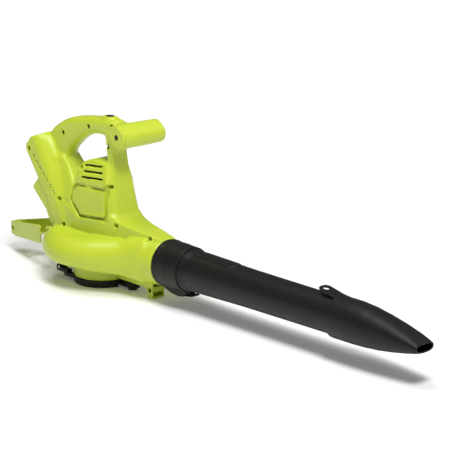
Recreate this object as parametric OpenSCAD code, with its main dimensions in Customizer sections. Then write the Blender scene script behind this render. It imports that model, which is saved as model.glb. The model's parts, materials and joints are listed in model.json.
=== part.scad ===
/* [Fan housing] */
// Radius of the round scroll around the fan
scroll_r = 103; // [101:1:105]
// Height of the scroll's underside above the floor
scroll_bottom = 40; // [39:0.5:41]
// Height of the scroll's flat top above the floor
scroll_top = 90; // [89:0.5:90]
// Thickness of the moulded walls
wall = 3; // [2.6:0.2:3]
// Radius of the air inlet through the underside
inlet_r = 44; // [42:0.5:44]

/* [Air tube] */
// Height of the tube's axis above the floor
tube_z = 67; // [66.5:0.5:67.5]
// Distance from the fan axis to the nozzle's mouth
mouth_x = 735; // [715:5:760]
// Width of the nozzle's mouth, outside
mouth_w = 38; // [34:1:44]
// Height of the nozzle's mouth, outside
mouth_h = 15; // [13:1:18]
// Distance that the middle of the mouth sits below the tube's axis
mouth_drop = 6; // [0:1:8]

/* [Handles] */
// Width of the loop handle, side to side
grip_w = 32; // [30:1:34]
// Half the width of the column in front of the loop, at its foot
column_base_half = 27.5; // [26:0.5:28]
// Distance that the front handle reaches to the left
front_reach = 67; // [55:1:75]

/* [Rear] */
// Half the width of the battery bay, outside
bay_half = 40; // [39:0.5:42]
// Distance from the fan axis back to the rear bracket's tip
rear_reach = 254; // [250:1:258]

/* [Fan and motor] */
// Radius of the impeller
impeller_r = 68; // [60:1:71]
// Number of impeller blades
blade_count = 9; // [6:1:12]
// Radius of the motor's steel can
motor_r = 30; // [29:0.5:30]

/* [Hidden] */
$fn = 64;
gap = 0.05;
// The part's origin is on the floor, under the middle of its whole length.
fan_x = (rear_reach - mouth_x) / 2;
edge_r = (scroll_top - scroll_bottom) / 2;
scroll_mid = (scroll_top + scroll_bottom) / 2;
wide = 150;
outlet_x = 171;

// Side outlines, as [x, z] from the fan axis and the floor, counter-clockwise.
skirt_side = [[-96, 82], [60, 84], [165, 98], [outlet_x, 107], [133, 111.5], [84, 118], [66, 126],
    [60, 150], [-30, 158], [-52, 140], [-80, 104]];
skirt_plan = [[-96, -28], [-62, -40], [24, -40], [62, -33], [110, -22], [outlet_x, -14], [outlet_x, 14],
    [110, 22], [62, 33], [24, 40], [-62, 40], [-96, 28]];
duct_side = [[0, scroll_bottom], [62, scroll_bottom], [outlet_x, tube_z - 40], [outlet_x, tube_z + 38],
    [118, 100], [62, scroll_top], [0, scroll_top]];
duct_plan = [[0, -92], [40, -86], [84, -60], [118, -45], [outlet_x, -39], [outlet_x, 39], [118, 45],
    [84, 64], [50, 88], [0, 96]];
column_side = [[38, 100], [75, 100], [70, 118], [63.5, 140], [57.5, 171], [51.5, 204], [49.5, 230], [54, 254],
    [54, 262], [30, 262], [30, 240], [34, 212], [39, 176]];
column_top_half = grip_w / 2 - 0.4;
column_front = [[-column_base_half, 95], [column_base_half, 95], [column_top_half, 228],
    [column_top_half, 290], [-column_top_half, 290], [-column_top_half, 228]];
loop_side = [[-92, 196], [-65, 222], [-48, 237], [-26, 249], [-5, 254], [17, 255], [34, 252], [66, 256],
    [64, 280], [53, 284.4], [42, 285.4],
    [8, 284], [-30, 280], [-71, 272], [-104, 258], [-127, 239], [-128, 214]];
bay_side = [[-80, 82], [-36, 88], [-30, 128], [-55, 153], [-82, 183], [-95, 212], [-108, 233], [-128, 238],
    [-146, 228], [-158, 212], [-154, 202], [-126, 162], [-146, 142], [-132, 130], [-121, 124], [-105, 105],
    [-94, 90]];
bracket_side = [[0, 32], [20, 31], [138, 47], [138, 80], [0, 55]];
bracket_strip = [[137, 74.5], [184, 83], [184, 88.3], [137, 79.8]];
bracket_rib = [[137, 62], [176, 73], [176, 77], [137, 66]];
bracket_splay = 15;
bracket_t = 3.2;
bracket_start_y = -4;
bracket_tip_half = 6.2;

// The battery bay's own directions: down along its length, and into its depth.
bay_top = [-158, 212];
bay_along = unit([-80, 82] - bay_top);
bay_in = [-bay_along[1], bay_along[0]];
bay_depth = 30;
bay_start = 18;
bay_stop = 138;
bay_wall = 4;

// Motor house in front of the bay: its arch from the side and its outline from above.
house_half = 33.5;
house_arch = [[-36, 85], [55.5, 85], [55.5, 200], [50, 213], [38, 219], [16, 221], [0, 219.5], [-14, 213.5],
    [-25, 203], [-32, 192], [-36, 180]];
house_plan = [[-36, -20], [-24, -house_half], [48, -house_half], [55.5, -23.5], [55.5, 23.5],
    [48, house_half], [-24, house_half], [-36, 20]];
// Vent slots: where each starts, as [x, z], and its length.
vent_slots = [[-8, 201.5, 48], [-11.5, 190, 52.5], [-15.5, 179.6, 58.5]];
vent_rise = 4.5;

collar_r = 50;
ring_h = 12;
ring_inner_r = 46;
guard_r = 45.3;
ring_start_x = -4;
hinge_x = -66;
hinge_z = 17;
hinge_arm_y = 39.5;
hinge_arm_side = [[-71, 11], [-51, 11], [-51, 6], [-22, 6], [-22, 11.6], [-43, 11.6], [-43, 17],
    [-71, 17]];
ear_y = 28.4;
ear_t = 5;
rib_z = 17;
ring_screw_at = 47.6;
ring_screw_head = 1.9;
latch_x = 78;
knob_stem_r = 3.4;
foot_x = 138;
foot_half = 14;
rib_hollow = [[52, 20], [128, 20], [128, 30], [64, 36], [52, 36]];

front_x = 71;
front_z = 262;
front_tilt = 38;
front_r = 16.5;
front_half_pitch = 5;
front_near = -26;
front_cap_t = 4;
eye_place = [46, 274];

dial_x = 24;
dial_top = 288.6;
dial_boss_top = 287.5;
dial_r = 6.5;
dial_stem_r = 2.9;

can_bottom = 93;
can_top = 170;
cap_top = 182;
shaft_r = 3.97;
bearing_bore_r = 4;
bearing_r = 11;
bearing_h = 7;
core_r = 22.5;
slot_count = 10;
commutator_r = 11;

spigot_r = 36;
spigot_end = 197;
collar_start = outlet_x + 0.5;
collar_outer_r = 40;
collar_end = 231;
tube_root = 203;
seat_start = 556;
tube_end = 592;
seat_r = 29.3;
nozzle_start = 562;
nozzle_round = 612;
nozzle_r = 33;
eye_tilt = 12;
eye_reach = 28;
eye_r = 5.5;
eye_t = 3.4;
latch_pivot = [212, 23];
latch_side = [[173.5, 20], [204, 18.6], [218, 19.4], [228, 20.6], [238, 23], [243, 26.2], [241, 28],
    [234, 28.2], [231.6, 25.2], [186, 25.2], [173.5, 24]];

// Housing screws: [x, z, half the housing's width there].
screw_r = 1.8;
screw_head_r = 3.8;
boss_r = 5.6;
screw_places = [[35.5, 240, 15.6], [51.5, 175.5, 26], [72, 114, 30], [-84, 244.4, 16], [-14.5, 266, 16],
    [eye_place[0], eye_place[1], 16], [-149.5, 210, 40], [-70.4, 135.1, 40], [-56, 93.5, 40],
    [146, 104.5, 17], [-14, 200.4, house_half], [60, 27, 14], [foot_x, 15, 14], [8 - rear_reach, 44, 9.5]];

// Lead routes, as [x, y, z] from the fan axis.
battery_route = [[-50.5, 8, 126], [-46, 10, 124], [-41, 13, 121], [-35, 16, 121], [-29.5, 17, 124],
    [-28.5, 17, 132], [-28.5, 17, 150], [-28.5, 17, 181], [-26.5, 16.5, 185.5], [-20, 15, 187.4],
    [-12, 14, 188], [4, 13, 190], [16, 12, 197], [24, 10, 202], [30, 9, 203], [38.4, 9, 203]];
motor_route = [[16, 6, 182.1], [16, 6, 187], [18, 6, 193], [24, 5, 197], [30, 4, 198], [38.4, 4, 198]];
dial_route = [[32.1, 4, 266], [37, 6, 262], [43, 8, 254], [45, 9, 246], [45, 9, 238], [41, 9, 230],
    [39.3, 9, 226.2]];

function unit(v) = v / norm(v);
// Moves an outline inwards by d.
function inset(p, d) = [for (i = [0:len(p) - 1])
    let (b = p[i],
        u = unit(b - p[(i + len(p) - 1) % len(p)]),
        v = unit(p[(i + 1) % len(p)] - b),
        nu = [-u[1], u[0]],
        nv = [-v[1], v[0]])
    b + d * (nu + nv) / (1 + nu * nv)];
function bay_point(s, n) = bay_top + s * bay_along + n * bay_in;
function bay_block(s0, s1, n0, n1) =
    [bay_point(s0, n0), bay_point(s1, n0), bay_point(s1, n1), bay_point(s0, n1)];

module at_fan() {
    translate([fan_x, 0, 0]) children();
}
module mirrored() {
    children();
    mirror([0, 1, 0]) children();
}
module box(low, high) {
    translate(low) cube(high - low);
}
module side_prism(points, half) {
    rotate([90, 0, 0]) linear_extrude(2 * half, center = true) polygon(points);
}
module along_x(x0, x1, r) {
    translate([x0, 0, tube_z]) rotate([0, 90, 0]) cylinder(r = r, h = x1 - x0, $fn = 96);
}
module across(x, z, r, y0, y1) {
    translate([x, y0, z]) rotate([-90, 0, 0]) cylinder(r = r, h = y1 - y0, $fn = 32);
}
module upright(x, y, r, z0, z1) {
    translate([x, y, z0]) cylinder(r = r, h = z1 - z0);
}
module ring(outer, inner, z0, z1) {
    difference() {
        upright(0, 0, outer, z0, z1);
        upright(0, 0, inner, z0 - 1, z1 + 1);
    }
}
// A round wire swept along a route, with flat ends.
module wire(route, r, up = [0.1, 1, 0.05], sides = 8) {
    last = len(route) - 1;
    points = [for (i = [0:last])
        let (t = unit(route[min(i + 1, last)] - route[max(i - 1, 0)]),
            a = unit(cross(t, up)),
            b = cross(t, a))
        for (k = [0:sides - 1]) route[i] + r * (cos(360 * k / sides) * a + sin(360 * k / sides) * b)];
    walls = [for (i = [0:last - 1], k = [0:sides - 1])
        let (a = i * sides + k, b = i * sides + (k + 1) % sides)
        [a, b, b + sides, a + sides]];
    start = [for (k = [0:sides - 1]) sides - 1 - k];
    stop = [for (k = [0:sides - 1]) last * sides + k];
    polyhedron(points, concat([start], walls, [stop]));
}

// Housing bodies, drawn d inside their outer surface.
module scroll_body(d) {
    rotate_extrude($fn = 128) {
        translate([scroll_r - edge_r, scroll_mid]) circle(edge_r - d);
        translate([0, scroll_bottom + d]) square([scroll_r - edge_r, scroll_top - scroll_bottom - 2 * d]);
    }
}
module duct_body(d) {
    intersection() {
        side_prism(inset(duct_side, d), wide);
        linear_extrude(wide) polygon(inset(duct_plan, d));
    }
}
module skirt_body(d) {
    intersection() {
        side_prism(inset(skirt_side, d), wide);
        linear_extrude(2 * wide) polygon(inset(skirt_plan, d));
    }
}
module house_body(d) {
    intersection() {
        side_prism(inset(house_arch, d), wide);
        linear_extrude(2 * wide) polygon(inset(house_plan, d));
    }
}
module column_body(d) {
    intersection() {
        side_prism(inset(column_side, d), wide);
        rotate([90, 0, 90]) linear_extrude(wide) polygon(inset(column_front, d));
    }
}
module front_handle_body(d) {
    r = front_r - d;
    translate([front_x, 0, front_z]) rotate([0, front_tilt, 0]) {
        for (s = [-1, 1]) across(s * front_half_pitch, 0, r, front_near + d, front_reach - d);
        box([-front_half_pitch, front_near + d, -r], [front_half_pitch, front_reach - d, r]);
    }
}
module bracket_plate() {
    tip_depth = 14;
    outer_shift = bracket_t * sin(bracket_splay);
    translate([outer_shift - rear_reach, bracket_start_y, 0]) rotate([0, 0, -bracket_splay])
        for (outline = [bracket_side, bracket_strip, bracket_rib])
            rotate([90, 0, 0]) linear_extrude(bracket_t) polygon(outline);
    box([-rear_reach, -bracket_tip_half, 33.5], [tip_depth - rear_reach, 0, 53.5]);
}
module outer_body() {
    scroll_body(0);
    duct_body(0);
    skirt_body(0);
    house_body(0);
    column_body(0);
    side_prism(loop_side, grip_w / 2);
    side_prism(bay_side, bay_half);
    upright(0, 0, collar_r, ring_h, scroll_bottom + 1);
    box([40, -foot_half, rib_z], [foot_x, foot_half, 40]);
    box([foot_x - 7.5, -foot_half, 0], [foot_x + 7.5, foot_half, 40]);
    mirrored() bracket_plate();
    along_x(outlet_x - 2, spigot_end, spigot_r);
    upright(dial_x, 0, 13, 270, dial_boss_top);
    mirrored() box([hinge_x - 6, ear_y, hinge_z - 6], [hinge_x + 6, ear_y + ear_t, scroll_bottom + 1]);
}
module inner_hollow() {
    over_fan = scroll_top;
    scroll_body(wall);
    intersection() {
        duct_body(wall);
        box([0, -wide, 0], [outlet_x, wide, scroll_top - wall]);
    }
    along_x(118, spigot_end + 1, spigot_r - wall);
    intersection() {
        union() {
            intersection() {
                skirt_body(wall);
                box([-wide, -wide, over_fan], [104, wide, 200]);
            }
            house_body(wall);
            column_body(wall);
            intersection() {
                side_prism(inset(bay_side, wall), bay_half - wall);
                union() {
                    side_prism(bay_block(0, 170, bay_depth + wall, 120), bay_half);
                    side_prism(bay_block(-20, bay_start - wall, 3, 80), bay_half);
                }
            }
        }
        box([-200, -wide, over_fan], [wide, wide, 300]);
    }
    side_prism(inset(loop_side, wall), grip_w / 2 - wall);
    upright(0, 0, inlet_r, ring_h - 1, scroll_bottom + wall + 1);
    upright(0, 0, 31, scroll_top - wall - 1, scroll_top + 1);
    side_prism(rib_hollow, foot_half - wall);
    box([foot_x - 4.5, wall - foot_half, 4], [foot_x + 1, foot_half - wall, 26]);
    box([foot_x + 4, wall - foot_half, 4], [foot_x + 8, foot_half - wall, 26]);
}
module lead_passages() {
    box([-54, 2, 112], [-26, 22, 130]);
}
module screw_bosses(side) {
    for (p = screw_places)
        if (side < 0) across(p[0], p[1], boss_r, 1 - p[2], 0);
        else across(p[0], p[1], boss_r, 0, p[2] - 1);
}
module screw_holes() {
    for (p = screw_places) {
        across(p[0], p[1], screw_r + gap, -screw_seat(p) - 1, screw_tip(p) + 1);
        across(p[0], p[1], screw_head_r + 0.3, -60, -screw_seat(p));
    }
}
function screw_seat(p) = min(10, p[2] - 6);
function screw_tip(p) = min(12, p[2] - 4);
module louvres() {
    cut_end = -house_half + wall + 2;
    for (v = vent_slots) translate([v[0], -60, v[1]]) rotate([0, -vent_rise, 0])
        cube([v[2], 60 + cut_end, 5]);
}
module bay_vents() {
    first = bay_point(23, 11);
    step = (bay_point(96, 29) - first) / 6;
    for (i = [0:6]) translate([first[0] + i * step[0], -bay_half - 1, first[1] + i * step[1]])
        rotate([0, 50, 0]) cube([6, bay_wall + 2, 3]);
}
module terminal_block_body(d) {
    side_prism(bay_block(118 - d, bay_stop + d, 8 - d, 46 + d), 22 + d);
}
module housing_half(side) {
    difference() {
        intersection() {
            union() {
                difference() {
                    outer_body();
                    inner_hollow();
                }
                intersection() {
                    outer_body();
                    union() {
                        screw_bosses(side);
                        upright(latch_x, 0, 8, rib_z, 39);
                    }
                }
            }
            box([-3 * wide, side < 0 ? -wide : 0, -1], [3 * wide, side < 0 ? 0 : wide, 300]);
        }
        side_prism(bay_block(bay_start, bay_stop, -40, bay_depth), bay_half - bay_wall);
        terminal_block_body(0.1);
        screw_holes();
        front_handle_body(-0.1);
        lead_passages();
        if (side < 0) louvres();
        else mirror([0, 1, 0]) louvres();
        if (side < 0) bay_vents();
        else mirror([0, 1, 0]) bay_vents();
        upright(latch_x, 0, knob_stem_r + 0.8, rib_z - 1, 26);
        mirrored() across(hinge_x, hinge_z, 2, ear_y - 1, ear_y + ear_t + 1);
        upright(dial_x, 0, dial_stem_r + 0.4, 275, 300);
        upright(dial_x, 0, dial_r + 0.6, dial_boss_top - 1.5, 300);
        for (a = [45, 135, 225, 315]) rotate([0, 0, a]) 
            upright(ring_screw_at, 0, 1.15, ring_h - 1, ring_h + 9);
        box([outlet_x + 4, -5, tube_z - spigot_r - 1], [spigot_end + 1, 5, tube_z - spigot_r + 1.6]);
        difference() {
            along_x(190, 193.2, spigot_r + 1);
            along_x(189, 195, spigot_r - 1.4);
        }
    }
}
module right_housing() {
    color("YellowGreen") housing_half(-1);
}
module left_housing() {
    color("YellowGreen") housing_half(1);
}
module housing_screws() {
    color("DimGray") for (p = screw_places) {
        head_y = -screw_seat(p);
        difference() {
            across(p[0], p[1], screw_head_r, head_y - 2.6, head_y);
            for (a = [0, 90]) translate([p[0], head_y - 2.6, p[1]]) rotate([0, a, 0])
                box([-2.2, -1, -0.4], [2.2, 1.4, 0.4]);
        }
        across(p[0], p[1], screw_r, head_y, screw_tip(p));
    }
}

// Front handle: a hollow bar that an eye on its back locks between the housing halves.
module front_handle() {
    color("YellowGreen") {
        difference() {
            front_handle_body(0);
            difference() {
                front_handle_body(wall);
                translate([front_x, 0, front_z]) rotate([0, front_tilt, 0]) {
                    across(0, 0, 5, -19, 20);
                    box([-22, 16, -22], [22, 20, 22]);
                }
            }
            box([front_x - 40, front_near - 1, front_z - 40],
                [front_x + 40, front_near + front_cap_t, front_z + 40]);
            across(front_x, front_z, 2 + gap, front_near, 14);
        }
        difference() {
            box([38.5, -4, 266], [54, 4, 280.5]);
            front_handle_body(0.5);
            across(eye_place[0], eye_place[1], boss_r + 0.1, -5, 5);
        }
    }
}
module front_handle_cap() {
    color("YellowGreen") difference() {
        intersection() {
            front_handle_body(0);
            box([0, front_near, 200], [200, front_near + front_cap_t - 0.05, 300]);
        }
        across(front_x, front_z, 2 + gap, -40, 0);
        across(front_x, front_z, 4.2, -40, front_near + 2.2);
    }
}
module front_handle_screw() {
    color("DimGray") {
        across(front_x, front_z, 3.9, front_near, front_near + 2.2);
        across(front_x, front_z, 2, front_near + 2.2, 12);
    }
}

// Air inlet: a fixed ring that the body stands on, and a guard that swings down.
module inlet_ring() {
    color("Black") difference() {
        union() {
            ring(collar_r, ring_inner_r, 0, ring_h);
            for (a = [45, 315]) rotate([0, 0, a]) upright(46, 0, 4, 9, ring_h);
        }
        box([-60, -60, -1], [ring_start_x, 60, 20]);
        box([40, -7.6, -1], [60, 7.6, 8.6]);
        for (a = [45, 315]) rotate([0, 0, a]) {
            upright(ring_screw_at, 0, 1.2, -1, 20);
            upright(ring_screw_at, 0, ring_screw_head + 0.1, -1, 8);
        }
    }
}
module inlet_ring_screws() {
    color("DimGray") for (a = [45, 315]) rotate([0, 0, a]) {
        upright(ring_screw_at, 0, ring_screw_head, 5.8, 8);
        upright(ring_screw_at, 0, 1.1, 8, 20);
    }
}
module inlet_guard() {
    rim_x = ring_start_x - 0.6;
    spoke_t = 3;
    color("Black") difference() {
        union() {
            for (r = [guard_r, 31, 17]) ring(r, r - 3, 4, 8);
            upright(0, 0, 5, 4, 8);
            for (a = [0:45:315]) rotate([0, 0, a]) box([2, -spoke_t / 2, 4], [guard_r - 1, spoke_t / 2, 8]);
            difference() {
                ring(collar_r, guard_r - 3, 0.6, 11.6);
                box([rim_x, -60, -1], [60, 60, 20]);
            }
            mirrored() {
                across(hinge_x, hinge_z, 6, hinge_arm_y - 5.5, hinge_arm_y + 5.5);
                translate([0, hinge_arm_y, 0]) side_prism(hinge_arm_side, 5.5);
            }
            box([40, -7, 4], [88, 7, 8]);
            box([69, -7, 4], [88, 7, 15.6]);
        }
        mirrored() across(hinge_x, hinge_z, 2 + gap, 20, 60);
        upright(latch_x, 0, knob_stem_r + gap, 0, 20);
    }
}
module guard_hinge_pins() {
    color("Silver") mirrored() across(hinge_x, hinge_z, 2, ear_y, hinge_arm_y + 5);
}
module guard_latch_knob() {
    color("Black") {
        upright(latch_x, 0, 8, 1.2, 3.6);
        box([latch_x - 7, -1.5, 0.4], [latch_x + 7, 1.5, 2]);
        upright(latch_x, 0, knob_stem_r, 3, 24);
    }
}
module interlock_switch() {
    color("Black") {
        box([94, -6, rib_z + wall], [114, 6, 30]);
        box([91, -2, 23], [94, 2, 27]);
    }
}

// Motor and fan, on the vertical axis.
module motor_mount_plate() {
    color("DarkGray") difference() {
        union() {
            upright(0, 0, 36.4, scroll_top, can_bottom);
            upright(0, 0, 15, can_bottom - bearing_h - 2, can_bottom);
        }
        upright(0, 0, bearing_r, can_bottom - bearing_h, can_bottom + 1);
        upright(0, 0, 6, 80, 100);
        motor_screw_holes();
    }
}
module motor_screw_holes() {
    for (a = [0, 120, 240]) rotate([0, 0, a]) upright(20, 0, 2 + gap, 80, can_bottom + 4);
}
module motor_screws() {
    color("DimGray") for (a = [0, 120, 240]) rotate([0, 0, a]) {
        upright(20, 0, 3.5, scroll_top - 2.6, scroll_top);
        upright(20, 0, 2, scroll_top, can_bottom + 3);
    }
}
module motor_can() {
    color("Silver") difference() {
        upright(0, 0, motor_r, can_bottom, can_top);
        upright(0, 0, motor_r - 2, can_bottom + 3, can_top + 1);
        upright(0, 0, 9, can_bottom - 1, can_top);
        motor_screw_holes();
        for (a = [0:60:300]) rotate([0, 0, a + 30]) box([20, -4, 98], [40, 4, 102]);
    }
}
module motor_magnets() {
    color("DimGray") difference() {
        ring(motor_r - 2.1, core_r + 1, 104, 154);
        for (a = [0, 90]) rotate([0, 0, a]) box([-40, -6, 100], [40, 6, 160]);
    }
}
module motor_end_cap() {
    color("Black") difference() {
        upright(0, 0, motor_r, can_top, cap_top);
        upright(0, 0, bearing_r, can_top + 3, cap_top + 1);
        upright(0, 0, 6, can_top - 1, cap_top);
    }
}
module brush_holders() {
    color("Goldenrod") for (a = [0, 180]) rotate([0, 0, a]) difference() {
        box([12.4, -5, 159], [26, 5, can_top]);
        box([10, -3.1, 160.4], [27, 3.1, 166.6]);
    }
}
module carbon_brushes() {
    color("DimGray") for (a = [0, 180]) rotate([0, 0, a])
        box([commutator_r + 0.4, -3, 160.5], [22, 3, 166.5]);
}
module bearing(z) {
    ring(bearing_r, 8.6, z, z + bearing_h);
    ring(6.2, bearing_bore_r, z, z + bearing_h);
    ring(8.6, 6.2, z + 1, z + bearing_h - 1);
}
module lower_bearing() {
    color("Silver") bearing(can_bottom - bearing_h);
}
module upper_bearing() {
    color("Silver") bearing(can_top + 3);
}
module rotor_shaft() {
    color("Silver") upright(0, 0, shaft_r, 49, cap_top - 1);
}
module slots(r) {
    for (a = [0:360 / slot_count:359]) rotate([0, 0, a]) upright(18.5, 0, r, 100, 158);
}
module armature_core() {
    color("Gray") difference() {
        upright(0, 0, core_r, 108, 150);
        upright(0, 0, shaft_r, 100, 160);
        slots(2.7);
        for (a = [0:360 / slot_count:359]) rotate([0, 0, a]) box([18, -0.7, 100], [30, 0.7, 160]);
    }
}
module armature_windings() {
    color("Chocolate") {
        intersection() {
            slots(2.6);
            upright(0, 0, 40, 108, 150);
        }
        ring(20.5, 9, 101, 108);
        ring(20.5, 9, 150, 156.5);
    }
}
module commutator() {
    color("Chocolate") difference() {
        upright(0, 0, commutator_r, 157.5, 168.5);
        upright(0, 0, shaft_r, 150, 170);
    }
}
module impeller() {
    back_z = 76;
    tip_x = impeller_r - 1;
    blade_top = back_z + 1;
    blade = [[8, 60], [40, 46], [tip_x, 51], [tip_x, blade_top], [8, blade_top]];
    color("DarkGray") difference() {
        union() {
            upright(0, 0, impeller_r, back_z, back_z + 3);
            upright(0, 0, 10, 58, back_z + 3);
            for (i = [0:blade_count - 1]) rotate([0, 0, 360 * i / blade_count])
                side_prism(blade, 1.2);
        }
        upright(0, 0, shaft_r, 40, 90);
    }
}
module impeller_nut() {
    color("Silver") difference() {
        translate([0, 0, 51]) cylinder(r = 7, h = 7, $fn = 6);
        upright(0, 0, shaft_r, 40, 90);
    }
}

// Controls and wiring.
module speed_dial() {
    color("DimGray") {
        difference() {
            upright(dial_x, 0, dial_r, dial_boss_top - 1.1, dial_top);
            box([dial_x - 4, -0.8, dial_top - 0.8], [dial_x + 4, 0.8, dial_top + 1]);
        }
        upright(dial_x, 0, dial_stem_r, 268, dial_boss_top - 1);
    }
}
module speed_potentiometer() {
    color("DarkGray") difference() {
        upright(dial_x, 0, 8, 263, 273);
        upright(dial_x, 0, dial_stem_r + gap, 267.5, 280);
    }
}
module control_board() {
    color("DarkGreen") box([38.5, -11, 184], [40.1, 11, 226]);
}
module power_transistors() {
    color("Black") for (y = [-10.5, -3.25, 4], z = [190, 210]) box([40.1, y, z], [42.6, y + 6.5, z + 10]);
}
module heat_sink() {
    color("Silver") {
        box([42.6, -10.5, 187], [44, 10.5, 224]);
        for (y = [-10.5:4.75:8.5]) box([44, y, 187], [45.8, y + 2, 224]);
    }
}
module battery_terminal_block() {
    color("Black") difference() {
        terminal_block_body(0);
        for (y = [-15:10:15]) translate([0, y, 0]) side_prism(bay_block(100, 130, 17.9, 22.1), 0.85);
    }
}
module contact_blades() {
    color("Goldenrod") for (y = [-15:10:15]) translate([0, y, 0])
        side_prism(bay_block(102, 130, 18, 22), 0.8);
}
module battery_lead() {
    color("Red") wire(battery_route, 1.6);
}
module motor_lead() {
    color("Black") wire(motor_route, 1.4);
}
module dial_lead() {
    color("Gray") wire(dial_route, 1);
}

// Air tube, latch and nozzle.
module outlet_seal() {
    color("Black") difference() {
        along_x(190.1, 193.1, spigot_r + 0.2);
        along_x(189, 195, spigot_r - 1.4);
        box([189, -5.2, 20], [195, 5.2, 34]);
    }
}
module tube_collar() {
    color("Black") difference() {
        union() {
            along_x(collar_start, collar_end, collar_outer_r);
            mirrored() box([collar_start, 7, 18.5], [218, 10, 34]);
        }
        along_x(collar_start - 1, 201, spigot_r + 0.3);
        along_x(collar_start, collar_end, spigot_r - wall);
        along_x(tube_root, collar_end + 1, 35.6);
        box([174.5, -7, 10], [189.5, 7, 40]);
        across(latch_pivot[0], latch_pivot[1], 1.5, -20, 20);
    }
}
module tube_latch() {
    color("Black") difference() {
        union() {
            side_prism(latch_side, 6.7);
            side_prism([[178, 24], [186, 24], [186, 30.5], [178, 32.2]], 4.7);
        }
        across(latch_pivot[0], latch_pivot[1], 1.5 + gap, -20, 20);
        upright(223, 0, 3, 21.4, 30);
    }
}
module latch_pin() {
    color("Silver") across(latch_pivot[0], latch_pivot[1], 1.5, -10, 10);
}
module latch_spring() {
    turns = 4;
    low = 21.8;
    high = 26.6;
    steps = 16 * turns;
    rise = (high - low) / steps;
    coil_r = 2.2;
    spring_x = 223;
    helix = [for (i = [0:steps]) [spring_x + coil_r * cos(22.5 * i), coil_r * sin(22.5 * i), low + rise * i]];
    color("Silver") wire(helix, 0.35, [0, 0, 1], 6);
}
module blower_tube() {
    tube_wall = 2.2;
    outer = [[tube_root, 35.5], [234, 35.5], [246, 33.2], [366, 30.6], [seat_start, seat_r],
        [tube_end, seat_r]];
    inner = [for (i = [len(outer) - 1:-1:0]) [outer[i][0], outer[i][1] - tube_wall]];
    color("Black") translate([0, 0, tube_z]) rotate([0, 90, 0]) rotate_extrude($fn = 96)
        polygon([for (p = concat(outer, inner)) [p[1], p[0]]]);
}
module mouth_block(x0, x1, d) {
    corner = 5;
    for (y = [-1, 1], z = [-1, 1])
        translate([x0, y * (mouth_w / 2 - corner), tube_z - mouth_drop + z * (mouth_h / 2 - corner)])
            rotate([0, 90, 0]) cylinder(r = corner - d, h = x1 - x0, $fn = 32);
}
module nozzle() {
    nozzle_wall = 2.4;
    color("Black") difference() {
        union() {
            along_x(nozzle_start, nozzle_round, nozzle_r);
            hull() {
                along_x(nozzle_round - 1, nozzle_round, nozzle_r);
                mouth_block(mouth_x - 1, mouth_x, 0);
            }
            translate([nozzle_start, 0, tube_z + nozzle_r]) rotate([0, eye_tilt, 0]) {
                upright(-eye_reach, 0, 11, -eye_t, 0);
                box([-eye_reach, -11, -eye_t], [16, 11, 0]);
            }
        }
        along_x(nozzle_start - 1, tube_end + 0.5, seat_r + gap);
        along_x(tube_end, nozzle_round, seat_r - 2);
        hull() {
            along_x(nozzle_round - 0.5, nozzle_round, seat_r - 2);
            mouth_block(mouth_x, mouth_x + 1, nozzle_wall);
        }
        translate([nozzle_start, 0, tube_z + nozzle_r]) rotate([0, eye_tilt, 0])
            upright(-eye_reach, 0, eye_r, -eye_t - 5, 5);
    }
}

at_fan() right_housing();
at_fan() left_housing();
at_fan() housing_screws();
at_fan() front_handle();
at_fan() front_handle_cap();
at_fan() front_handle_screw();
at_fan() inlet_ring();
at_fan() inlet_ring_screws();
at_fan() inlet_guard();
at_fan() guard_hinge_pins();
at_fan() guard_latch_knob();
at_fan() interlock_switch();
at_fan() motor_mount_plate();
at_fan() motor_screws();
at_fan() motor_can();
at_fan() motor_magnets();
at_fan() motor_end_cap();
at_fan() brush_holders();
at_fan() carbon_brushes();
at_fan() lower_bearing();
at_fan() upper_bearing();
at_fan() rotor_shaft();
at_fan() armature_core();
at_fan() armature_windings();
at_fan() commutator();
at_fan() impeller();
at_fan() impeller_nut();
at_fan() speed_dial();
at_fan() speed_potentiometer();
at_fan() control_board();
at_fan() power_transistors();
at_fan() heat_sink();
at_fan() battery_terminal_block();
at_fan() contact_blades();
at_fan() battery_lead();
at_fan() motor_lead();
at_fan() dial_lead();
at_fan() outlet_seal();
at_fan() tube_collar();
at_fan() tube_latch();
at_fan() latch_pin();
at_fan() latch_spring();
at_fan() blower_tube();
at_fan() nozzle();
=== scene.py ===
import json
import math

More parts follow.
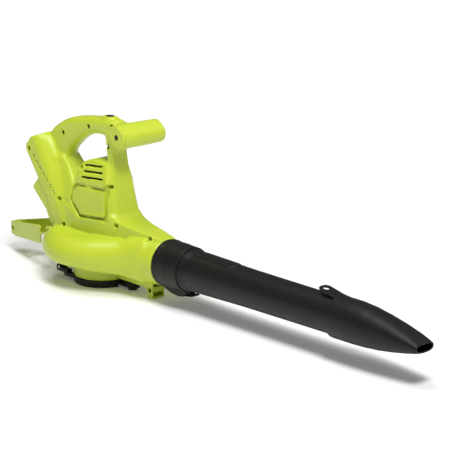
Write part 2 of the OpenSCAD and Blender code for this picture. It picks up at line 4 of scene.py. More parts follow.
import bpy
import numpy as np
import openvdb
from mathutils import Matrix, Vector


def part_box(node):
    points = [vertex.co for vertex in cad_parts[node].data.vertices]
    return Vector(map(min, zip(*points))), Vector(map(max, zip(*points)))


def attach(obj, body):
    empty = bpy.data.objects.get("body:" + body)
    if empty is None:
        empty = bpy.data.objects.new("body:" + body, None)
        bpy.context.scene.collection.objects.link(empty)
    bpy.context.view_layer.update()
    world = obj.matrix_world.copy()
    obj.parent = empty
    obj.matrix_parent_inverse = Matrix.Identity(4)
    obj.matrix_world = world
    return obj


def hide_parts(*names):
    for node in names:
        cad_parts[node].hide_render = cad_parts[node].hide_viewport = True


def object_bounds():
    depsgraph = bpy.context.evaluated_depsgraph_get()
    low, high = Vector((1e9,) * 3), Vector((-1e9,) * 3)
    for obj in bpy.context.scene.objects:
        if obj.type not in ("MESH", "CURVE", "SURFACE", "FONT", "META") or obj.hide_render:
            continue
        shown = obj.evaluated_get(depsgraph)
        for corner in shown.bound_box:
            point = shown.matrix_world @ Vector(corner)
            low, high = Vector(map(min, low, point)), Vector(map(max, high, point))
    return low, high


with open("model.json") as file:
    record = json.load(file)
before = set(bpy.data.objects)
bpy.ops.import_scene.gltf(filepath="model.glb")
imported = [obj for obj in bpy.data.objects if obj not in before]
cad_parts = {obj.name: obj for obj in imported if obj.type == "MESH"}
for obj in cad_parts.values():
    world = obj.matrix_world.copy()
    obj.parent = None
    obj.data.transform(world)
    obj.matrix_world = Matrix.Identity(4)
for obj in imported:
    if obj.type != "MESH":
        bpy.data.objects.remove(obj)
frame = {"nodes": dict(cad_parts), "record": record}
cad_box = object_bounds()

# Shapes are worked out in mm from the fan axis, and become metres when a mesh is made.
lo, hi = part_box("rotor_shaft")
FAN = (lo.x + hi.x) * 500.0
REAR = cad_box[0].x * 1000.0 - FAN
MOUTH = cad_box[1].x * 1000.0 - FAN
TUBE_Z = 67.0
SEAM = 0.04
WALL = 3.0
DIAL_X, KNOB_X, LATCH_PIN = 24, 78, (212, 23)
GRIP_X, GRIP_Z, GRIP_TILT = 71, 262, math.radians(38)
SHARP = math.radians(52)


# ---------------------------------------------------------------- distance fields
def rmax(a, b, r):
    """Where both overlap, with the convex edge rounded by r."""
    u, v = np.maximum(a + r, 0), np.maximum(b + r, 0)
    return np.minimum(-r, np.maximum(a, b)) + np.sqrt(u * u + v * v)


def rmin(a, b, r):
    """Both together, with the inner corner filled by radius r."""
    u, v = np.maximum(r - a, 0), np.maximum(r - b, 0)
    return np.maximum(r, np.minimum(a, b)) - np.sqrt(u * u + v * v)


def poly(points, a, b):
    """Distance to a closed outline, negative inside."""
    p = np.array(points, float)
    shape = np.broadcast(a, b).shape
    near = np.full(shape, 1e9)
    inside = np.zeros(shape, bool)
    for i in range(len(p)):
        p0, p1 = p[i - 1], p[i]
        ex, ey = p1 - p0
        wx, wy = a - p0[0], b - p0[1]
        t = np.clip((wx * ex + wy * ey) / (ex * ex + ey * ey), 0, 1)
        near = np.minimum(near, (wx - ex * t) ** 2 + (wy - ey * t) ** 2)
        if ey != 0:
            inside ^= ((p0[1] <= b) != (p1[1] <= b)) & (wx < wy * ex / ey)
    return (np.where(inside, -1, 1) * np.sqrt(near)).astype(np.float32)


def flowing(points, steps=6):
    """A closed smooth curve through the points."""
    p = np.array(points, float)
    n, out = len(p), []
    for i in range(n):
        a, b, c, d = p[i - 1], p[i], p[(i + 1) % n], p[(i + 2) % n]
        for k in range(steps):
            t = k / steps
            square, cube = 2 * a - 5 * b + 4 * c - d, 3 * b - a - 3 * c + d
            out.append(0.5 * (2 * b + (c - a) * t + square * t * t + cube * t ** 3))
    return out


def span(v, low, high):
    """Negative between low and high."""
    return np.maximum(low - v, v - high)


def grid(low, high, step):
    """The x, y and z of a box of points, each as an array that spreads over the other two."""
    counts = [int(math.ceil((high[i] - low[i]) / step)) + 1 for i in range(3)]
    ax = [low[i] + step * np.arange(counts[i], dtype=np.float32) for i in range(3)]
    return ax[0][:, None, None], ax[1][None, :, None], ax[2][None, None, :]


def soften(f, times):
    """Smooths a field, which rounds every edge of its surface a little."""
    for _ in range(times):
        for axis in range(3):
            g = np.moveaxis(f, axis, 0)
            g[1:-1] = 0.25 * g[:-2] + 0.5 * g[1:-1] + 0.25 * g[2:]
    return f


def sample(f, p):
    """The field's value at points given in cells."""
    i = np.clip(np.floor(p).astype(np.int32), 0, np.array(f.shape) - 2)
    t = (p - i).astype(np.float32)
    x, y, z = i.T
    u, v, w = t.T
    c00 = f[x, y, z] * (1 - u) + f[x + 1, y, z] * u
    c10 = f[x, y + 1, z] * (1 - u) + f[x + 1, y + 1, z] * u
    c01 = f[x, y, z + 1] * (1 - u) + f[x + 1, y, z + 1] * u
    c11 = f[x, y + 1, z + 1] * (1 - u) + f[x + 1, y + 1, z + 1] * u
    return (c00 * (1 - v) + c10 * v) * (1 - w) + (c01 * (1 - v) + c11 * v) * w


def settle(field, p, times, reach, flat=False):
    """Moves points, in cells, onto the field's surface, by at most reach. flat keeps their y."""
    start = p.copy()
    for _ in range(times):
        value = sample(field, p)
        slope = np.stack([sample(field, p + d) - sample(field, p - d) for d in 0.5 * np.eye(3)], 1)
        if flat:
            slope[:, 1] = 0
        square = np.maximum((slope * slope).sum(1), 1e-4)
        p = p - np.clip(value / square, -1, 1)[:, None] * slope
        p = start + np.clip(p - start, -reach, reach)
    return p


def skin(name, field, low, step, body, side=1, keep=1.0, rim=None):
    """The surface of a field as a smooth mesh piece. side -1 mirrors it across the middle plane.
    rim is the same field without its cut on the middle plane: it keeps that edge sharp."""
    f = np.clip(field, -4 * step, 4 * step).astype(np.float32)
    for axis in range(3):
        g = np.moveaxis(f, axis, 0)
        g[0] = np.maximum(g[0], step)
        g[-1] = np.maximum(g[-1], step)
    volume = openvdb.FloatGrid()
    volume.background = 4 * step
    volume.copyFromArray(f)
    p, quads = volume.convertToQuads(0.0)
    p = np.array(p, float)
    quads = np.array(quads)
    p = settle(f, p, 3, 0.6)
    if rim is not None:
        at = (p[:, 1] * step + low[1] < 0.8 * step) & (np.abs(sample(rim, p)) < 0.9 * step)
        q = p[at]
        q[:, 1] = (SEAM - 0.01 - low[1]) / step
        p[at] = settle(rim, q, 4, 1.0, flat=True)
    p = p * step + np.array(low)
    p[:, 1] *= side
    if side < 0:
        quads = quads[:, ::-1]
    p[:, 0] += FAN
    mesh = bpy.data.meshes.new(name)
    mesh.vertices.add(len(p))
    mesh.vertices.foreach_set("co", (p / 1000.0).astype(np.float32).ravel())
    mesh.loops.add(quads.size)
    mesh.loops.foreach_set("vertex_index", quads.astype(np.int32).ravel())
    mesh.polygons.add(len(quads))
    mesh.polygons.foreach_set("loop_start", np.arange(0, quads.size, 4, dtype=np.int32))
    mesh.update(calc_edges=True)
    mesh.validate()
    mesh.polygons.foreach_set("use_smooth", np.ones(len(mesh.polygons), bool))
    obj = bpy.data.objects.new(name, mesh)
    bpy.context.scene.collection.objects.link(obj)
    if keep < 1:
        mod = obj.modifiers.new("lighter", "DECIMATE")
        mod.ratio = keep
        dg = bpy.context.evaluated_depsgraph_get()
        lean = bpy.data.meshes.new_from_object(obj.evaluated_get(dg))
        obj.modifiers.clear()
        obj.data = lean
        lean.polygons.foreach_set("use_smooth", np.ones(len(lean.polygons), bool))
    obj.data.set_sharp_from_angle(angle=SHARP)
    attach(obj, body)
    print(name, len(obj.data.polygons), "faces")
    return obj


# ---------------------------------------------------------------- materials
def material(name, colour, rough=0.4, fine=0.12, grain=900.0, mottle=0.06, metal=0.0, scratch=0.0, spec=0.5):
    """A moulded or metal surface: broad colour change, speckled gloss and a fine raised grain."""
    m = bpy.data.materials.new(name)
    m.use_nodes = True
    nt = m.node_tree
    shader = nt.nodes["Principled BSDF"]
    shader.inputs["Metallic"].default_value = metal
    shader.inputs["Specular IOR Level"].default_value = spec
    place = nt.nodes.new("ShaderNodeTexCoord")

    def noise(scale, detail, stretch=None):
        n = nt.nodes.new("ShaderNodeTexNoise")
        n.inputs["Scale"].default_value = scale
        n.inputs["Detail"].default_value = detail
        if stretch:
            mapping = nt.nodes.new("ShaderNodeMapping")
            mapping.inputs["Scale"].default_value = stretch
            nt.links.new(place.outputs["Object"], mapping.inputs["Vector"])
            nt.links.new(mapping.outputs["Vector"], n.inputs["Vector"])
        else:
            nt.links.new(place.outputs["Object"], n.inputs["Vector"])
        return n

    broad = noise(14.0, 3.0)
    ramp = nt.nodes.new("ShaderNodeMix")
    ramp.data_type = "RGBA"
    ramp.inputs["A"].default_value = [c * (1 - mottle) for c in colour] + [1]
    ramp.inputs["B"].default_value = [min(1, c * (1 + mottle)) for c in colour] + [1]
    nt.links.new(broad.outputs["Fac"], ramp.inputs["Factor"])
    nt.links.new(ramp.outputs["Result"], shader.inputs["Base Color"])
    speck = noise(grain * 0.35, 2.0, (1, 1, 1) if not scratch else (1, scratch, scratch))
    span_rough = nt.nodes.new("ShaderNodeMapRange")
    span_rough.inputs["To Min"].default_value = max(rough - 0.07, 0.05)
    span_rough.inputs["To Max"].default_value = min(rough + 0.07, 1.0)
    nt.links.new(speck.outputs["Fac"], span_rough.inputs["Value"])
    nt.links.new(span_rough.outputs["Result"], shader.inputs["Roughness"])
    tiny = noise(grain, 3.0)
    bump = nt.nodes.new("ShaderNodeBump")
    bump.inputs["Strength"].default_value = fine
    bump.inputs["Distance"].default_value = 0.0002
    nt.links.new(tiny.outputs["Fac"], bump.inputs["Height"])
    nt.links.new(bump.outputs["Normal"], shader.inputs["Normal"])
    return m


LIME = (0.5, 0.6, 0.036)
MATERIALS = {
    "green_shell": material("lime_plastic", LIME,
                            rough=0.36, fine=0.1, grain=1400, mottle=0.025, spec=0.45),
    "black_shell": material("black_plastic", (0.0095, 0.009, 0.0085),
                            rough=0.46, fine=0.2, grain=1300, mottle=0.12, spec=0.22),
    "dial_grey": material("dial_plastic", (0.03, 0.03, 0.032), rough=0.5, fine=0.2, grain=1600, mottle=0.1),
    "dark_screw": material("blackened_screw", (0.03, 0.03, 0.03),
                           rough=0.38, metal=0.9, grain=2200, mottle=0.2),
    "bright_steel": material("bright_steel", (0.6, 0.6, 0.62),
                             rough=0.25, metal=1.0, grain=1500, mottle=0.05, scratch=12),
    "zinc_can": material("zinc_steel", (0.45, 0.46, 0.48), rough=0.4, metal=1.0, grain=700, mottle=0.12),
    "cast_alloy": material("cast_alloy", (0.5, 0.5, 0.51),
                           rough=0.5, metal=1.0, fine=0.4, grain=800, mottle=0.1),
    "fan_nylon": material("fan_nylon", (0.03, 0.03, 0.033), rough=0.5, fine=0.3, grain=900, mottle=0.15),
    "ferrite": material("ferrite", (0.045, 0.045, 0.05), rough=0.7, fine=0.4, grain=900, mottle=0.2),
    "core_steel": material("core_steel", (0.2, 0.2, 0.21),
                           rough=0.45, metal=1.0, grain=900, mottle=0.1, scratch=25),
    "copper": material("copper_wire", (0.55, 0.2, 0.07),
                       rough=0.32, metal=1.0, fine=0.5, grain=1200, mottle=0.15),
    "brass": material("stamped_brass", (0.6, 0.42, 0.14),
                      rough=0.3, metal=1.0, grain=1300, mottle=0.06, scratch=10),
    "carbon": material("carbon_block", (0.03, 0.03, 0.03), rough=0.65, fine=0.4, grain=1200, mottle=0.2),
    "board": material("circuit_board", (0.01, 0.09, 0.025), rough=0.35, fine=0.15, grain=500, mottle=0.15),
    "chip_black": material("moulded_epoxy", (0.018, 0.018, 0.018),
                           rough=0.55, fine=0.3, grain=1500, mottle=0.15),
    "sink_alloy": material("extruded_alloy", (0.62, 0.63, 0.64),
                           rough=0.35, metal=1.0, grain=1200, mottle=0.04, scratch=20),
    "seal_rubber": material("seal_rubber", (0.012, 0.012, 0.012),
                            rough=0.75, fine=0.2, grain=900, mottle=0.15),
    "lead_red": material("red_lead", (0.42, 0.012, 0.01), rough=0.4, fine=0.15, grain=900, mottle=0.05),
    "lead_black": material("black_lead", (0.015, 0.015, 0.015),
                           rough=0.4, fine=0.15, grain=900, mottle=0.1),
    "lead_grey": material("grey_lead", (0.25, 0.25, 0.26), rough=0.4, fine=0.15, grain=900, mottle=0.05),
}

# the CAD nodes, each in its slot's material
slot_of = {s["node"]: s["material_slot"] for s in frame["record"]["subparts"]}
for node, obj in frame["nodes"].items():
    obj.data.materials.clear()
    obj.data.materials.append(MATERIALS[slot_of[node]])


def dress(obj, slot):
    obj.data.materials.clear()
    obj.data.materials.append(MATERIALS[slot])
    return obj


# ---------------------------------------------------------------- housing halves
STEP = 1.25
# each screw's x and z, and how far the housing reaches out there
SCREWS = [(35.5, 240, 15.6), (51.5, 175.5, 26), (72, 114, 30), (-84, 244.4, 16), (-14.5, 266, 16),
          (46, 274, 16), (-149.5, 210, 40), (-70.4, 135.1, 40), (-56, 93.5, 40), (146, 104.5, 17),
          (-22.6, 196.6, 28), (60, 27, 14), (138, 15, 14), (-246, 44, 9.5)]
# each louvre's x, z and length
LOUVRES = [(-15.8, 197.8, 46.5), (-15.2, 187.8, 50), (-18, 177.8, 56.5)]
BAY_TOP = np.array([-158.0, 212.0])
BAY_DIR = np.array([78.0, -130.0]) / math.hypot(78, 130)
BAY_IN = np.array([-BAY_DIR[1], BAY_DIR[0]])


def bay_corner(s, n):
    """A point s down the battery bay and n into it."""
    return list(BAY_TOP + s * BAY_DIR + n * BAY_IN)


def bay_block(s0, s1, n0, n1):
    return [bay_corner(s0, n0), bay_corner(s1, n0), bay_corner(s1, n1), bay_corner(s0, n1)]


def grip_field(x, y, z, grow=0.0):
    """The front bar grip, with its long side tilted down and forward."""
    t = GRIP_TILT
    dx, dz = x - GRIP_X, z - GRIP_Z
    u, w = dx * math.cos(t) - dz * math.sin(t), dx * math.sin(t) + dz * math.cos(t)
    slim = np.clip((y - 20) / 47, 0, 1) * 0.8
    return np.hypot(np.maximum(np.abs(u) - 5, 0), w) - 16.5 + slim - grow


def housing(side):
    """One half of the housing: its field, the field before the cut on the middle plane, and its corner."""
    low = (REAR - 3, -5.0, -2.5)
    X, V, Z = grid(low, (202, 103, 291), STEP)
    Y, A = side * V, np.abs(V)
    x2, z2 = X[:, :, 0], Z[0]
    y2 = Y[0, :, :]

    def side_view(points):
        return poly(points, x2, z2)[:, None, :]

    def plan(points):
        return poly(points, x2, y2.T)[:, :, None]

    rho = np.hypot(X, Y)
    tube_r = np.hypot(Y, Z - TUBE_Z)
    # scroll and its way out
    scroll = np.hypot(np.maximum(rho - 79, 0), Z - 66) - 23.6
    duct = rmax(side_view([[15, 46], [62, 43.5], [110, 34], [150, 29.5], [150, 104], [118, 97], [72, 85],
                           [15, 78]]),
                plan([[15, -70], [50, -70], [82, -58], [104, -49.5], [122, -44], [150, -37.5], [150, 37.5],
                      [122, 44], [104, 51], [82, 62], [50, 76], [15, 76]]), 20)
    mouth = rmax(tube_r - (39.3 + 0.05 * np.maximum(171 - X, 0)), span(X, 100, 171), 1.2)
    body = rmin(rmin(scroll, duct, 24), mouth, 10)
    # upper body over the scroll: the motor's housing leans in above the motor, the column narrows upwards
    skirt = rmax(side_view([[-96, 82], [60, 84], [165, 98], [171, 103], [171, 106.5], [150, 109.5], [133, 112],
                            [108, 115], [84, 119], [66, 126], [30, 122], [-20, 112], [-56, 130], [-80, 104]]),
                 plan([[-96, -28], [-62, -36.5], [24, -36.5], [62, -31], [110, -23], [171, -15.5], [171, 15.5],
                       [110, 23], [62, 31], [24, 36.5], [-62, 36.5], [-96, 28]]), 2.2)
    arch = flowing([[-46, 96], [-45, 130], [-42, 150], [-38, 168], [-33, 184], [-28, 197], [-20, 206.5],
                    [-6, 212], [14, 214], [36, 213], [45, 209], [50, 200], [56, 168], [60, 140], [60, 96]], 4)
    heights = Z[0, 0, :]
    house = np.interp(heights, [150, 183, 198, 214], [33.5, 31, 26, 20.5])
    column_half = 15.6 + 11.9 * np.clip((228 - heights) / 133, 0, 1)
    width = house - column_half
    corner = np.interp(heights, [125, 150, 172, 181, 205, 220],
                       [56, 56.5, 55, 51.5, 41.5, 33] if side < 0 else [56, 50.5, 46, 44, 41, 33])
    depth = np.interp(heights, [118, 140, 171, 204, 230], [70, 63.5, 57.5, 51.5, 49.5]) - corner
    slope = ((X - corner) * width + (A - house) * depth) / np.hypot(width, depth)
    motor_house = rmax(side_view(arch), rmax(A - house, slope, 2), 3.5)
    column = rmax(side_view([[36, 92], [77, 92], [75, 100], [70, 118], [63.5, 140], [57.5, 171], [51.5, 204],
                             [49.5, 230], [54, 254], [54, 262], [29, 262], [31, 240], [35, 212], [39, 176]]),
                  A - column_half, 1.4)
    body = rmin(body, rmin(skirt, motor_house, 9), 1.2)
    body = rmin(body, column, 3.5)
    # loop handle
    loop = rmax(side_view(flowing([[-92, 190], [-74, 214], [-60, 227], [-44, 239], [-24, 249], [-4, 254],
                                   [17, 255], [34, 252], [58, 256], [66, 262], [64, 275], [55, 281],
                                   [42, 285], [8, 284], [-30, 280], [-71, 272], [-104, 257], [-124, 240],
                                   [-124, 214]], 4)), A - 16, 12)
    body = rmin(body, loop, 5)
    boss = rmax(np.hypot((X - DIAL_X) / 1.35, Y) - 11.5, span(Z, 262, 287.5), 1.5)
    body = rmin(body, boss, 4)
    body = rmin(body, np.maximum(grip_field(X, Y, Z), span(Y, -16, 20)), 6)
    # battery bay, with a hollow beside it under the loop's rear leg, and a toothed lower edge
    teeth = []
    for i in range(7):
        tooth = np.array([-146, 142]) + (np.array([-105, 105]) - np.array([-146, 142])) * i / 7
        teeth += [list(tooth), list(tooth + np.array([0.67, 0.74]) * 2.6)]
    crown = 0.0014 * A * A * np.clip((Z - 200) / 30, 0, 1)
    bay = rmax(side_view([[-80, 82], [-26, 86], [-30, 108], [-44, 136], [-62, 160], [-86, 190], [-101, 218],
                          [-112, 232], [-128, 239], [-148, 232], [-161, 217], [-161, 207], [-157, 202],
                          [-128, 162]] + teeth + [[-105, 105], [-94, 90]]) + crown, A - 40, 3.2)
    valley = rmax(side_view([[-100, 90], [0, 90], [0, 168], [-34, 160], [-48, 168], [-62, 186], [-84, 206],
                             [-100, 200]]), A - (34 - 14 * np.clip((Z - 140) / 50, 0, 1)), 6)
    bay_line = (X - BAY_TOP[0]) * BAY_IN[0] + (Z - BAY_TOP[1]) * BAY_IN[1]
    bay = rmax(bay, np.minimum(A - 20, bay_line - 50 + 0.9 * (A - 20)), 7)
    body = rmin(body, rmin(bay, valley, 12), 4)
    # inlet collar, rib and foot
    body = rmin(body, rmax(rho - 50, span(Z, 12, 46), 1), 2)
    body = rmin(body, np.maximum(rmax(span(X, 40, 138), A - 14, 2), span(Z, 17, 44)), 2)
    body = rmin(body, np.maximum(rmax(span(X, 130.5, 145.5), A - 14, 4), span(Z, 0, 40)), 3)
    body = rmin(body, rmax(np.maximum(span(X, -72, -60), span(A, 28.4, 33.4)), span(Z, 11, 46), 1.5), 1)
    body = soften(body, 2)
    spigot = np.maximum(tube_r - 36, span(X, 160, 197))
    body = np.minimum(body, spigot)
    # rear bracket: two thin walls that spread from the tip, and their ribs
    t = math.radians(15)
    n = (A - 4) * math.cos(t) - (X - REAR - 0.83) * math.sin(t)

    def on_wall(points):
        return side_view([[REAR + 0.4 + s * math.cos(t), z] for s, z in points])

    plate = on_wall([[0, 32.5], [20, 31.5], [138, 47], [138, 80], [0, 55]])
    strips = np.minimum(on_wall([[130, 73], [184, 83], [184, 88.3], [130, 78.8]]),
                        on_wall([[130, 60], [176, 72.5], [176, 76.5], [130, 64.5]]))
    plates = rmax(np.minimum(plate, strips), span(n, 0, 3.2), 0.7)
    floor_web = rmax(side_view([[REAR + 4, 33.5], [REAR + 20, 33.5], [REAR + 60, 37], [REAR + 60, 40],
                                [REAR + 20, 37.5], [REAR + 4, 37]]), n - 1, 0.6)
    tip = rmax(rmax(span(X, REAR, REAR + 14), A - 6.8, 1.6), span(Z, 32.5, 55), 1.5)
    body = rmin(body, np.minimum(np.minimum(plates, tip), floor_web), 1.2)

    # relief: the bay's thinner lower wall, and the groove round the side panel, kept clear of the motor
    low_wall = side_view([[-162, 205], [-155, 190], [-104, 137], [-96, 122], [-88, 104], [-82, 92], [-110, 70],
                          [-180, 120], [-176, 205]])
    body = rmax(body, -rmax(low_wall, 38 - A, 0.8), 0.8)
    pad = side_view([[-27, 164], [-37, 154.5], [-39, 139], [-17, 118], [46, 124], [46, 167]])
    room = 5.5 + 3.5 * np.clip((X - 40) / 6, 0, 1)
    groove = np.maximum(-pad, pad - room)
    floor = np.maximum(house - 5, np.sqrt(np.maximum(30.7 ** 2 - X * X, 0)))
    plain = body
    body = rmax(body, -np.maximum(groove, floor - A), 0.9)

    # inside: one wall thickness in, with the deck that carries the motor
    deck = np.maximum(np.maximum(span(Z, 86.5, 90.5), rho - 96), 31 - rho)
    slot = np.maximum(side_view(bay_block(18, 138, -40, 30)), A - 36)
    block = np.maximum(side_view(bay_block(117.9, 138.1, 7.9, 46.1)), A - 22.1)
    hollow = np.maximum(plain + WALL, -np.maximum(groove - 3, floor - 2.4 - A))
    hollow = np.maximum(hollow, -deck)
    hollow = np.maximum(hollow, WALL - slot)
    hollow = np.maximum(hollow, WALL - block)
    pegs = np.min([np.hypot(x2 - s[0], z2 - s[1]) - 5.6 for s in SCREWS], axis=0)
    hollow = np.maximum(hollow, -pegs[:, None, :].astype(np.float32))
    hollow = np.maximum(hollow, span(X, -200, 168))
    hollow = np.maximum(hollow, -(np.hypot(X - KNOB_X, Y) - 8))
    hollow = np.minimum(hollow, np.maximum(tube_r - 33, span(X, 118, 199)))
    hollow = np.minimum(hollow, np.maximum(rho - 44, span(Z, 5, 48)))
    hollow = np.minimum(hollow, slot)
    hollow = np.minimum(hollow, block)
    hollow = np.minimum(hollow, np.maximum(np.maximum(span(X, 142, 150), A - 11), span(Z, 4, 26)))
    shell = np.maximum(body, -hollow)
    # cuts: louvres, vents, grip, dial, hinge and knob holes
    tilt = math.tan(math.radians(4.5))
    for x0, z0, length in LOUVRES:
        up = Z - z0 - (X - x0) * tilt
        slat = house + 0.6 - 1.1 * np.clip(up, 0, 5)
        cut = rmax(span(X, x0, x0 + length), span(up, 0, 5.4), 1.2)
        shell = rmax(shell, -np.maximum(cut, slat - A), 0.7)
        gap = np.maximum(span(X, x0 + 2, x0 + length - 2), span(up, 3.6, 5.2))
        shell = np.maximum(shell, -np.maximum(gap, house - 8 - A))
    first, last = np.array(bay_corner(23, 11)), np.array(bay_corner(96, 29))
    for i in range(7):
        c = first + (last - first) * i / 6
        u = (X - c[0]) * BAY_DIR[0] + (Z - c[1]) * BAY_DIR[1]
        w = (X - c[0]) * BAY_IN[0] + (Z - c[1]) * BAY_IN[1]
        shell = np.maximum(shell, -np.maximum(np.maximum(np.abs(u) - 3.6, np.abs(w) - 1.7), 30 - A))
    grip_gap = grip_field(X, Y, Z, 0.08)
    shell = np.maximum(shell, -(grip_gap if side > 0 else np.maximum(grip_gap, -27 - Y)))
    shell = np.maximum(shell, -np.maximum(np.hypot(X - DIAL_X, Y) - 7.1, 286 - Z))
    shell = np.maximum(shell, -np.maximum(np.hypot(X - DIAL_X, Y) - 3.4, 270 - Z))
    shell = np.maximum(shell, -np.maximum(np.hypot(X - KNOB_X, Y) - 4.2, span(Z, 0, 26)))
    shell = np.maximum(shell, -np.maximum(np.maximum(span(X, 175, 200), A - 5), Z - (TUBE_Z - 34.4)))
    if side < 0:
        for sx, sz, half in SCREWS:
            seat = min(10, half - 6)
            hole = np.hypot(X - sx, Z - sz)
            rim = np.clip(1 - np.abs(hole - 5.6) / 1.5, 0, 1) * np.clip((A - seat) / 2, 0, 1)
            shell = shell - 0.7 * rim
            shell = rmax(shell, -np.maximum(hole - 4.1, seat - A), 0.6)
    return np.maximum(shell, SEAM - V), shell, low


for side, name in ((-1, "right_housing"), (1, "left_housing")):
    field, rim, low = housing(side)
    keep = 0.45
    piece = skin("shell_" + name, field, low, STEP, "housing", side, keep=keep, rim=rim)
    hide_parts(name)
    dress(piece, "green_shell")
    del field, rim

# ---------------------------------------------------------------- front grip
low = (40, -28, 232)
X, Y, Z = grid(low, (102, 70, 292), 1.0)
bar = rmax(grip_field(X, Y, Z), span(Y, -21.6, 67), 5.5)
bar = np.where(Y < 0, np.maximum(grip_field(X, Y, Z), -21.9 - Y), bar)
bar = np.maximum(bar, -np.maximum(np.hypot(X - GRIP_X, Z - GRIP_Z) - 4, Y + 18))
grip = dress(skin("grip_bar", bar, low, 1.0, "housing"), "green_shell")
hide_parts("front_handle")
end = rmax(grip_field(X, Y, Z), span(Y, -26, -22.1), 1.6)
dish = np.clip(1 - np.abs(grip_field(X, Y, Z) + 5.5) / 1.4, 0, 1)
end = end + 0.7 * dish * np.clip((-24 - Y) / 1, 0, 1)
end = rmax(end, -np.maximum(np.hypot(X - GRIP_X, Z - GRIP_Z) - 4.4, Y + 20), 0.6)
cap = dress(skin("grip_end", end, low, 1.0, "housing"), "green_shell")
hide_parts("front_handle_cap")

# ---------------------------------------------------------------- collar, latch, tube
def side_outline(points):
    """An outline seen from the side, in the present grid."""
    return poly(points, X[:, :, 0], Z[0])[:, None, :]


low = (168, -44, 14)
X, Y, Z = grid(low, (260, 44, 110), 1.0)
tube_r = np.hypot(Y, Z - TUBE_Z)
outer = 39.6 - 0.9 * np.clip((X - 178) / 3, 0, 1) - 0.7 * np.clip((X - 203) / 5, 0, 1)
outer = outer - 0.6 * np.clip((X - 212) / 18, 0, 1)
collar = rmax(tube_r - outer, span(X, 171.5, 231), 2.2)
cheek_side = side_outline([[174, 36], [174, 27], [190, 22], [208, 20], [222, 22.5], [229, 30], [229, 36]])
cheeks = rmax(rmax(span(np.abs(Y), 7, 13), Z - 36, 2), cheek_side, 2)
collar = rmin(collar, cheeks, 2.5)
collar = np.maximum(collar, -np.maximum(tube_r - 36.3, X - 201))
collar = np.maximum(collar, -(tube_r - 33))
collar = np.maximum(collar, -np.maximum(tube_r - 35.6, 203 - X))
collar = np.maximum(collar, -np.maximum(np.maximum(span(X, 174.5, 189.5), np.abs(Y) - 7), span(Z, 0, 40)))
collar = np.maximum(collar, -np.maximum(np.maximum(span(X, 204, 212), Z - 40), np.abs(Y + 37) - 4))
collar = np.maximum(collar, -(np.hypot(X - LATCH_PIN[0], Z - LATCH_PIN[1]) - 1.5))
collar_piece = dress(skin("collar_shell", collar, low, 1.0, "tube"), "black_shell")
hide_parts("tube_collar")

low = (168, -10, 14)
X, Y, Z = grid(low, (260, 10, 36), 0.6)
latch = rmax(side_outline([[173.5, 23.2], [188, 22.4], [204, 21], [220, 21.2], [232, 22.8], [240, 25.6],
                           [241, 28], [234, 28.2], [231.6, 25.2], [186, 25.2], [173.5, 25.2]]),
             np.abs(Y) - 6.7, 1.2)
tooth = np.maximum(side_outline([[178, 24], [186, 24], [186, 30.5], [178, 32.2]]), np.abs(Y) - 4.7)
latch = np.minimum(latch, tooth)
for i in range(4):
    latch = rmax(latch, 1.1 - np.hypot(X - 221 - 4 * i, Z - 20.3 - 0.8 * i), 0.4)
latch = np.maximum(latch, -(np.hypot(X - LATCH_PIN[0], Z - LATCH_PIN[1]) - 1.55))
latch = np.maximum(latch, -np.maximum(np.hypot(X - 223, Y) - 3, span(Z, 21.4, 32)))
latch_piece = dress(skin("latch_shell", latch, low, 0.6, "latch"), "black_shell")
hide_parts("tube_latch")

low = (200, -40, 26)
X, Y, Z = grid(low, (595, 40, 108), 1.1)
tube_r = np.hypot(Y, Z - TUBE_Z)
line = np.interp(X[:, 0, 0], [203, 234, 246, 366, 556, 592], [35.5, 35.5, 33.2, 30.6, 29.3, 29.3])
line = line.astype(np.float32)[:, None, None]
around = np.arctan2(Y, Z - TUBE_Z) * line
pad = rmax(np.abs(around) - 13.5, span(X, 248, 338), 12)
tube = tube_r - line - 1.1 * np.clip(0.5 - pad / 1.2, 0, 1) + 0.5 * np.clip(0.5 - (pad + 3) / 1.2, 0, 1)
tube = rmax(tube, span(X, 203, 592), 1)
tube = np.maximum(tube, line - 2.2 - tube_r)
keep = 0.5
tube_piece = dress(skin("tube_shell", tube, low, 1.1, "tube", keep=keep), "black_shell")
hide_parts("blower_tube")

# ---------------------------------------------------------------- nozzle
step = 0.9
low = (525, -38, 26)
X, Y, Z = grid(low, (MOUTH + 2, 38, 118), step)
MOUTH_Z = TUBE_Z - 6
x1 = X[:, 0, 0]


def along(xs, values):
    return np.interp(x1, xs, values).astype(np.float32)[:, None, None]


def blend_section(shrink):
    """Round at the root, a wide flat lens at the mouth; the underside stays nearly straight."""
    xs = [562, 600, 628, 655, 684, 712, 727, MOUTH]
    half_w = along(xs, [33, 33, 32, 30, 27, 23.5, 21, 19])
    top = along(xs, [33, 33, 30.6, 25.5, 18.6, 10.5, 5, 1.5])
    bottom = along(xs, [-33, -33, -32, -29.5, -25, -19.5, -16, -13.5])
    half_h = (top - bottom) / 2 - shrink
    mid = TUBE_Z + (top + bottom) / 2
    half_w = half_w - shrink
    power = along([562, 640, MOUTH], [2, 2, 2.5])
    u, w = np.abs(Y) / half_w, np.abs(Z - mid) / half_h
    q = (u ** power + w ** power) ** (1 / power)
    return (q - 1) * np.minimum(half_w, half_h)


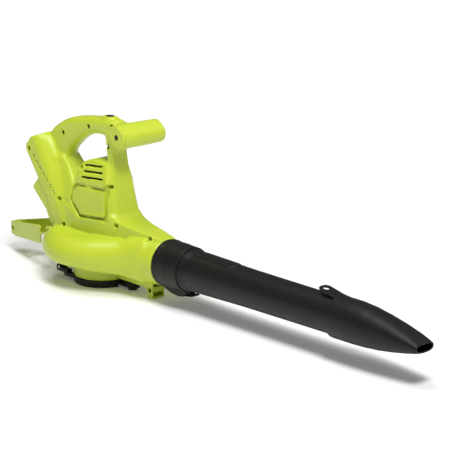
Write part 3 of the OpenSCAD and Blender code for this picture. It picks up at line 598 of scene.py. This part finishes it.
nozzle = rmax(blend_section(0), span(X, 562, MOUTH), 0.8)
t = math.radians(12)
dx, dz = X - 562, Z - TUBE_Z - 33
u, w = dx * math.cos(t) - dz * math.sin(t), dx * math.sin(t) + dz * math.cos(t)
tongue = np.minimum(np.hypot(u + 28, Y) - 11, np.maximum(span(u, -28, 18), np.abs(Y) - 11))
tongue = rmax(tongue, span(w, -3.4, 0), 1)
nozzle = rmin(nozzle, tongue, 2.5)
web = np.maximum(side_outline([[560, 98], [578, 98], [600, 92], [562, 88]]), np.abs(Y) - 8)
nozzle = np.minimum(nozzle, web)
bore = blend_section(2.4)
nozzle = np.maximum(nozzle, -np.maximum(bore, 592 - X))
nozzle = np.maximum(nozzle, -np.maximum(np.hypot(Y, Z - TUBE_Z) - 29.5, X - 592.5))
nozzle = rmax(nozzle, -np.maximum(np.hypot(u + 28, Y) - 5.5, span(w, -9, 9)), 0.6)
ring_lip = np.clip(1 - np.abs(np.hypot(u + 28, Y) - 7.2) / 1.2, 0, 1) * np.clip(1 - np.abs(w) / 2.5, 0, 1)
nozzle = nozzle - 0.5 * ring_lip
crease = np.clip(1 - np.abs(Y - 9) / 1.1, 0, 1) * np.clip((X - 690) / 8, 0, 1)
crease = crease * np.clip((Z - MOUTH_Z) / 3, 0, 1)
nozzle = nozzle + 0.7 * crease
nozzle_piece = dress(skin("nozzle_shell", nozzle, low, step, "nozzle", keep=keep), "black_shell")
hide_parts("nozzle")

# ---------------------------------------------------------------- softened edges on the CAD pieces that show
for node in ("inlet_ring", "inlet_guard", "guard_latch_knob", "speed_dial", "impeller", "motor_mount_plate",
             "housing_screws", "front_handle_screw"):
    obj = frame["nodes"][node]
    bevel = obj.modifiers.new("edge", "BEVEL")
    bevel.width = 0.0004
    bevel.segments = 2
    bevel.limit_method = "ANGLE"
    bevel.angle_limit = math.radians(38)
    bevel.harden_normals = False

# ---------------------------------------------------------------- stage, light and camera
floor = bpy.data.meshes.new("studio_floor")
FLOOR_HALF, FLOOR_Z = 9.0, -0.0001
floor.from_pydata([(x * FLOOR_HALF, y * FLOOR_HALF, FLOOR_Z) for x, y in ((-1, -1), (1, -1), (1, 1), (-1, 1))],
                  [], [(0, 1, 2, 3)])
stage = bpy.data.objects.new("studio_floor", floor)
bpy.context.scene.collection.objects.link(stage)
paper = bpy.data.materials.new("studio_paper")
paper.use_nodes = True
tree = paper.node_tree
sheet = tree.nodes["Principled BSDF"]
sheet.inputs["Base Color"].default_value = (0.9, 0.9, 0.9, 1)
sheet.inputs["Roughness"].default_value = 0.9
sheet.inputs["Emission Color"].default_value = (1, 1, 1, 1)
# the sheet glows a little, more with distance, as a white studio sweep looks
spot = tree.nodes.new("ShaderNodeTexCoord")
away = tree.nodes.new("ShaderNodeVectorMath")
away.operation = "LENGTH"
tree.links.new(spot.outputs["Object"], away.inputs[0])
glow = tree.nodes.new("ShaderNodeMapRange")
for socket, value in (("From Min", 0.5), ("From Max", 2.4), ("To Min", 0.09), ("To Max", 0.85)):
    glow.inputs[socket].default_value = value
tree.links.new(away.outputs["Value"], glow.inputs["Value"])
tree.links.new(glow.outputs["Result"], sheet.inputs["Emission Strength"])
floor.materials.append(paper)


def area(name, place, width, height, power):
    """A soft light that faces the middle of the object."""
    data = bpy.data.lights.new(name, "AREA")
    data.shape = "RECTANGLE"
    data.size, data.size_y, data.energy = width, height, power
    lamp = bpy.data.objects.new(name, data)
    lamp.location = place
    lamp.rotation_euler = (Vector((0, 0, 0.1)) - Vector(place)).to_track_quat("-Z", "Y").to_euler()
    bpy.context.scene.collection.objects.link(lamp)


area("key", (1.35, -0.8, 2.5), 0.8, 0.8, 62)
area("top", (-0.35, -0.35, 2.8), 1.2, 1.2, 36)
area("back", (0.8, 1.8, 2.0), 1.8, 1.0, 6)
world = bpy.data.worlds.new("studio")
bpy.context.scene.world = world
world.use_nodes = True
world.node_tree.nodes["Background"].inputs["Color"].default_value = (1, 1, 1, 1)
world.node_tree.nodes["Background"].inputs["Strength"].default_value = 0.14

camera = bpy.data.cameras.new("camera")
camera.lens, camera.sensor_width = 160, 36
eye = bpy.data.objects.new("camera", camera)
bpy.context.scene.collection.objects.link(eye)
a, e = math.radians(48), math.radians(15)
back = Vector((math.sin(a) * math.cos(e), -math.cos(a) * math.cos(e), math.sin(e)))
eye.location = (2.3193, -2.0274, 0.9694)
eye.rotation_mode = "QUATERNION"
eye.rotation_quaternion = (-back).to_track_quat("-Z", "Y")
camera.clip_start, camera.clip_end = 0.1, 50
bpy.context.scene.camera = eye
bpy.context.scene.view_settings.view_transform = "Standard"
